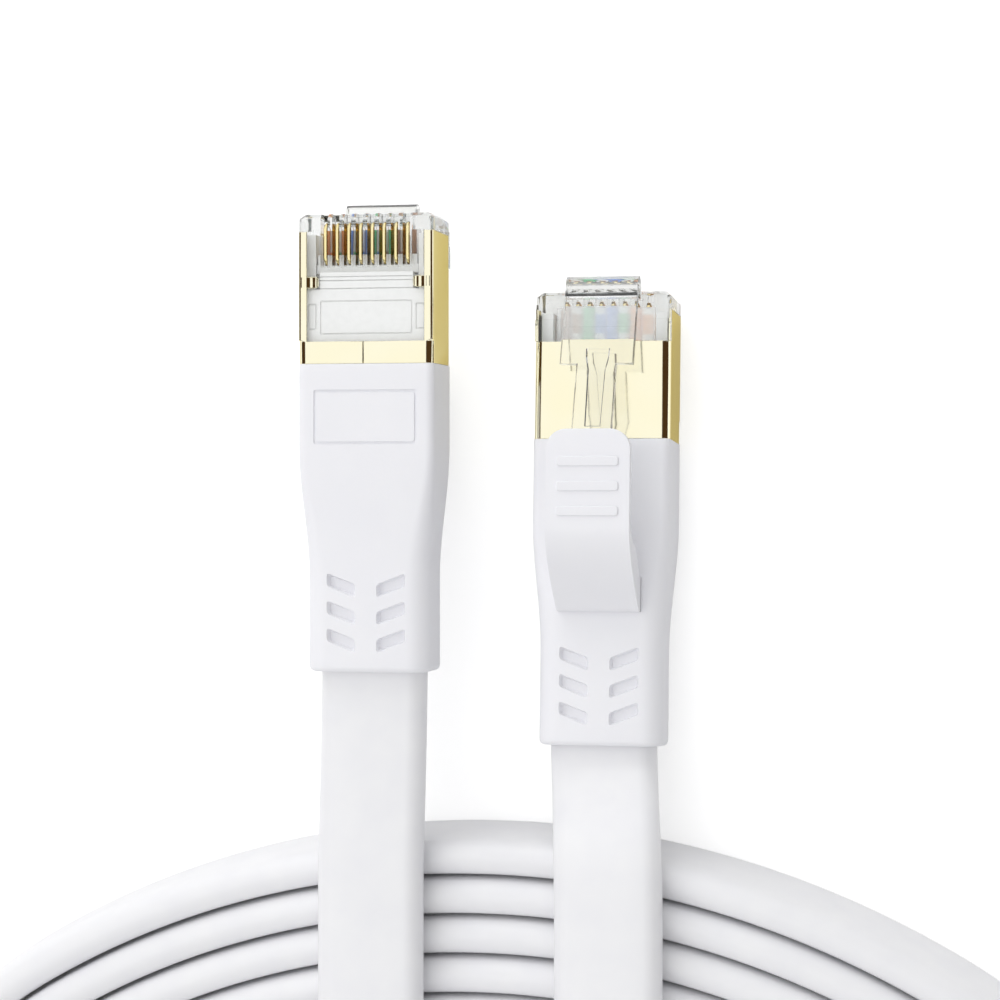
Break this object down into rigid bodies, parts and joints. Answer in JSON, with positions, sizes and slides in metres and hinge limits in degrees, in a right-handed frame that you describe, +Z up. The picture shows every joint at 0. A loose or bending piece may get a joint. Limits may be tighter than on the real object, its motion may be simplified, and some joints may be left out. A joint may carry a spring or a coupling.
{
  "type": "network patch cable",
  "caption": "Flat white shielded patch cable with a gold-shelled modular plug, boot and press pad at each end, wound in an oval coil.",
  "frame": {"origin": "centre of the plugs' footprint at the surface that the cable lies on", "axes": "+Y towards the plugs' tips, with the coil on the -Y side; +Z up; +X from the left plug (contacts up) to the right plug (latch up)"},
  "size_m": [0.1246, 0.1476, 0.0148],
  "materials": {
    "clear_plastic": "clear moulded polycarbonate",
    "contact_gold": "gold-plated bronze",
    "shell_gold": "thin gold plating on folded brass sheet",
    "bar_plastic": "moulded, satin",
    "copper": "bare copper strands",
    "foil": "wrapped foil",
    "ferrule_metal": "crimped sheet",
    "mould_plastic": "moulded filler",
    "boot_plastic": "finely textured moulding",
    "jacket": "smooth satin jacket",
    "strap": "hook-and-loop tape",
    "wire_white_orange": "wire insulation",
    "wire_orange": "wire insulation",
    "wire_white_green": "wire insulation",
    "wire_blue": "wire insulation",
    "wire_white_blue": "wire insulation",
    "wire_green": "wire insulation",
    "wire_white_brown": "wire insulation",
    "wire_brown": "wire insulation"
  },
  "bodies": {
    "cable": {"a_housing": "clear_plastic", "a_contacts": "contact_gold", "a_shield": "shell_gold", "a_load_bar": "bar_plastic", "a_wire_white_orange": "wire_white_orange", "a_wire_orange": "wire_orange", "a_wire_white_green": "wire_white_green", "a_wire_blue": "wire_blue", "a_wire_white_blue": "wire_white_blue", "a_wire_green": "wire_green", "a_wire_white_brown": "wire_white_brown", "a_wire_brown": "wire_brown", "a_copper_cores": "copper", "a_pair_foils": "foil", "a_ferrule": "ferrule_metal", "a_inner_mould": "mould_plastic", "a_boot": "boot_plastic", "b_housing": "clear_plastic", "b_contacts": "contact_gold", "b_shield": "shell_gold", "b_load_bar": "bar_plastic", "b_wire_white_orange": "wire_white_orange", "b_wire_orange": "wire_orange", "b_wire_white_green": "wire_white_green", "b_wire_blue": "wire_blue", "b_wire_white_blue": "wire_white_blue", "b_wire_green": "wire_green", "b_wire_white_brown": "wire_white_brown", "b_wire_brown": "wire_brown", "b_copper_cores": "copper", "b_pair_foils": "foil", "b_ferrule": "ferrule_metal", "b_inner_mould": "mould_plastic", "b_boot": "boot_plastic", "lead_a": "jacket", "lead_b": "jacket", "coil": "jacket", "coil_strap": "strap"},
    "a_latch": {"a_latch": "clear_plastic"},
    "a_press_pad": {"a_press_pad": "boot_plastic"},
    "b_latch": {"b_latch": "clear_plastic"},
    "b_press_pad": {"b_press_pad": "boot_plastic"}
  },
  "joints": [
    {"name": "a_pad_press", "type": "hinge", "parent": "cable", "child": "a_press_pad", "pos_m": [-0.0095, -0.00384, 0.00695], "axis": [1, 0, 0], "range_deg": [0, 14], "stiffness_Nm_per_rad": 0.04},
    {"name": "a_latch_flex", "type": "hinge", "parent": "cable", "child": "a_latch", "pos_m": [-0.0095, 0.02226, 0.00765], "axis": [1, 0, 0], "range_deg": [-13.4, 0], "stiffness_Nm_per_rad": 0.02},
    {"name": "b_pad_press", "type": "hinge", "parent": "cable", "child": "b_press_pad", "pos_m": [0.0095, -0.01006, 0.00868], "axis": [1, 0, 0], "range_deg": [-14, 0], "stiffness_Nm_per_rad": 0.04},
    {"name": "b_latch_flex", "type": "hinge", "parent": "cable", "child": "b_latch", "pos_m": [0.0095, 0.01593, 0.00616], "axis": [1, 0, 0], "range_deg": [0, 13.4], "stiffness_Nm_per_rad": 0.02}
  ],
  "couplings": [
    {"joint": "a_latch_flex", "follows": "a_pad_press", "ratio": -0.95},
    {"joint": "b_latch_flex", "follows": "b_pad_press", "ratio": -0.95}
  ]
}
